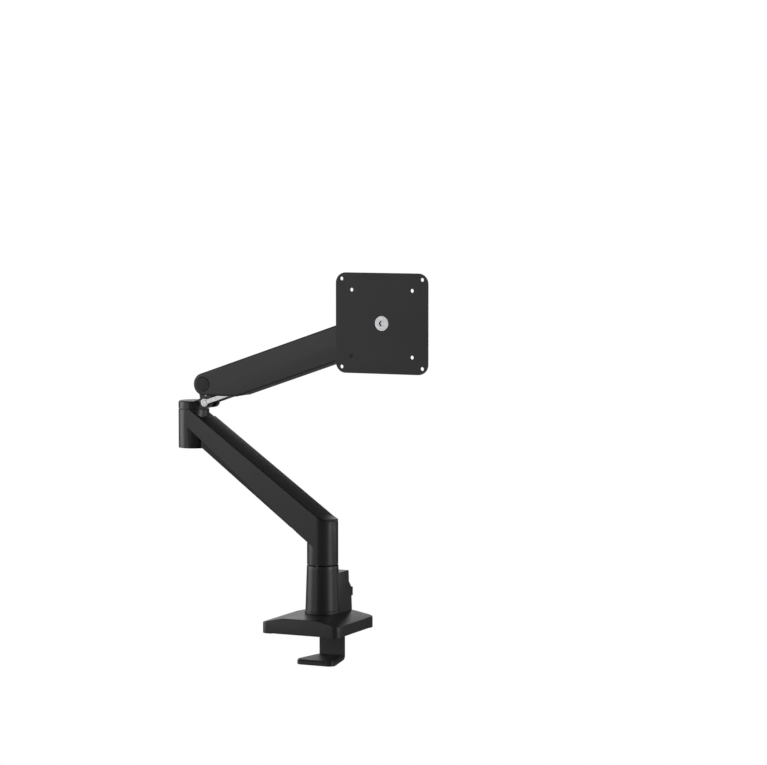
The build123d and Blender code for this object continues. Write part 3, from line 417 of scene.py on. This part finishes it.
# The riser's parting line and the cover that lies on it, in millimetres.
TURRET_RADIUS = 18.3
PARTING_HEIGHT = 133.1
PARTING_SLOPE = 0.714
NOSE_START = 1.0
COVER_END = -150.5
COVER_INSET = 0.15
COVER_GAP = 0.9
COVER_EDGE = 0.6
COVER_CROWN = 1.2
COVER_ROUND = 0.45
ROUND_FADE = 3.0
ROUND_STEPS = 5
CROWN_STEPS = 19
UNDER_STEPS = 7


def parting_line(x):
    """Height and slope of the parting line at x: a straight fall, then a circle's arc that ends level.
    The circle touches the straight at NOSE_START and is level above the turret's rim."""
    tilt = math.atan(PARTING_SLOPE)
    radius = (TURRET_RADIUS - NOSE_START) / math.sin(tilt)
    bend = PARTING_HEIGHT - PARTING_SLOPE * NOSE_START
    centre = bend + radius * math.cos(tilt)
    across = np.clip(TURRET_RADIUS - x, 0.0, radius * math.sin(tilt))
    rise = np.sqrt(radius * radius - across * across)
    height = np.where(x < NOSE_START, PARTING_HEIGHT - PARTING_SLOPE * x, centre - rise)
    return height, np.where(x < NOSE_START, -PARTING_SLOPE, -across / rise)


def cover_profile():
    """The cover's section as a closed loop of (share of the half width, inset, height above the parting
    line). It has a flat underside, upright edges, quarter rounds and a crown: top + crown * (1 - share^2)."""
    top = COVER_GAP + COVER_EDGE
    turn = np.linspace(0.0, math.pi / 2, ROUND_STEPS)
    inset = COVER_ROUND * (1.0 - np.cos(turn))
    raised = top - COVER_ROUND + COVER_ROUND * np.sin(turn)
    share = np.linspace(1.0, -1.0, CROWN_STEPS)[1:-1]
    crown = top + COVER_CROWN * (1.0 - share * share)
    under = np.linspace(-1.0, 1.0, UNDER_STEPS)
    edge = np.ones(ROUND_STEPS)
    shares = np.concatenate([edge, share, -edge, under])
    insets = np.concatenate([inset, COVER_ROUND * np.abs(share), inset[::-1], np.zeros(UNDER_STEPS)])
    heights = np.concatenate([raised, crown, raised[::-1], np.full(UNDER_STEPS, COVER_GAP)])
    return shares, insets, heights


def make_cover():
    """The riser's cover: its section is carried along the parting line, x(s), with heights stretched by
    sqrt(1 + slope^2), and its half width is the turret's circle sqrt(r^2 - x^2) beyond the axis."""
    radius = TURRET_RADIUS - COVER_INSET
    straight = np.linspace(COVER_END, 0.0, 12)[:-1]
    nose = radius * np.sin(np.linspace(0.0, math.pi / 2, 26))
    x = np.concatenate([straight, nose])[:, None]
    height, slope = parting_line(x)
    half = np.sqrt(np.maximum(radius * radius - np.maximum(x, 0.0) ** 2, 0.0))
    shares, insets, heights = cover_profile()
    y = shares * (half - insets * np.minimum(1.0, half / ROUND_FADE))
    z = height + heights * np.sqrt(1.0 + slope * slope)
    grid = np.stack([np.broadcast_to(x, y.shape), y, z], axis=-1)
    put("riser_top_cover_skin", closed_mesh("riser_top_cover_skin", [grid], ring=False), "riser_top_cover")


# The head's friction washers, in millimetres: the axis each turns about, its bore, and how thick it is.
# A washer without a thickness fills its node's whole length.
FRICTION_WASHERS = {
    "tilt_washers": {"axis": 0, "bore": 4.0, "thickness": 0.5},
    "rotate_washer": {"axis": 1, "bore": 5.0, "thickness": None},
}
WASHER_ROUND = 0.08
WASHER_PLAY = 0.12
WASHER_SIDES = 64


def node_box(node):
    """The lowest and the highest corner of a CAD node, in millimetres."""
    mesh = frame["nodes"][node].data
    flat = np.empty(3 * len(mesh.vertices))
    mesh.vertices.foreach_get("co", flat)
    points = flat.reshape(-1, 3) / MM
    return points.min(axis=0), points.max(axis=0)


def washer_grid(axis, centre, low, high, bore, rim):
    """A ring about an axis: its section, a box with small quarter rounds, turns through a full circle.
    Each point is (along, r cos turn, r sin turn) about the centre."""
    turn = np.linspace(0.0, math.pi / 2, 4)
    outward = WASHER_ROUND * (1.0 - np.cos(turn))
    upward = WASHER_ROUND * (1.0 - np.sin(turn))
    reach = np.concatenate([rim - outward, (bore + outward)[::-1], bore + outward, (rim - outward)[::-1]])
    along = np.concatenate([high - upward, (high - upward)[::-1], low + upward, (low + upward)[::-1]])
    circle = np.linspace(0.0, 2.0 * math.pi, WASHER_SIDES + 1)[:-1, None]
    grid = np.empty((WASHER_SIDES, reach.size, 3))
    first, second = [k for k in range(3) if k != axis]
    grid[..., axis] = along
    grid[..., first] = centre[first] + reach * np.cos(circle)
    grid[..., second] = centre[second] + reach * np.sin(circle)
    return grid


def make_washers():
    """The friction washers, with play round their bolts."""
    for node, washer in FRICTION_WASHERS.items():
        axis, thickness = washer["axis"], washer["thickness"]
        low, high = node_box(node)
        centre = (low + high) / 2
        rim = (high[2] - low[2]) / 2
        spans = [(low[axis], high[axis])]
        if thickness:
            spans = [(low[axis], low[axis] + thickness), (high[axis] - thickness, high[axis])]
        bore = washer["bore"] + WASHER_PLAY
        grids = [washer_grid(axis, centre, start, end, bore, rim) for start, end in spans]
        put(node + "_turned", closed_mesh(node + "_turned", grids, ring=True), node)


def make_floor():
    """A pale floor well below the clamp, evenly bright from its own glow as a sweep is, with less glow near
    the middle as a painted shade under the arm; there its plain part also takes the lamps' real shade.
    """
    finish = Finish("pale_floor", Base_Color=FLOOR_TONE, Roughness=0.7, Specular_IOR_Level=0.2)
    reach = finish.add("ShaderNodeVectorMath", {"operation": "LENGTH"}, {0: finish.place}, "Value")
    # Painted shade: the glow falls off towards the middle, darkening the floor under the arm; the plain part
    # mixed in there shows real shade from the lamps.
    share = PAINTED_SHADE_GLOW_SHARE + reach.smooth(0.6, 1.5) * (1.0 - PAINTED_SHADE_GLOW_SHARE)
    plain = Value(finish, finish.shader.outputs["BSDF"])
    glow = finish.add("ShaderNodeEmission", {}, {})
    mixed = finish.add("ShaderNodeMixShader", {}, {0: share, 1: plain, 2: glow})
    out = next(n for n in finish.nodes if n.type == "OUTPUT_MATERIAL")
    finish.links.new(mixed.socket, out.inputs["Surface"])
    turns = np.linspace(0.0, 2.0 * math.pi, FLOOR_SIDES + 1)[:-1]
    level = np.full(FLOOR_SIDES, FLOOR_HEIGHT)
    rim = np.stack([FLOOR_RADIUS * np.cos(turns), FLOOR_RADIUS * np.sin(turns), level], axis=1)
    mesh = bpy.data.meshes.new("floor")
    mesh.from_pydata(rim.tolist(), [], [list(range(FLOOR_SIDES))])
    mesh.materials.append(finish.material)
    floor = bpy.data.objects.new("floor", mesh)
    bpy.context.scene.collection.objects.link(floor)
    floor.visible_glossy = False
    floor.visible_diffuse = False


place_camera()
light_studio()
make_floor()
dress_nodes()
for node_name, width in BROKEN_EDGES.items():
    finished_copy(node_name, width)
make_cover()
make_washers()
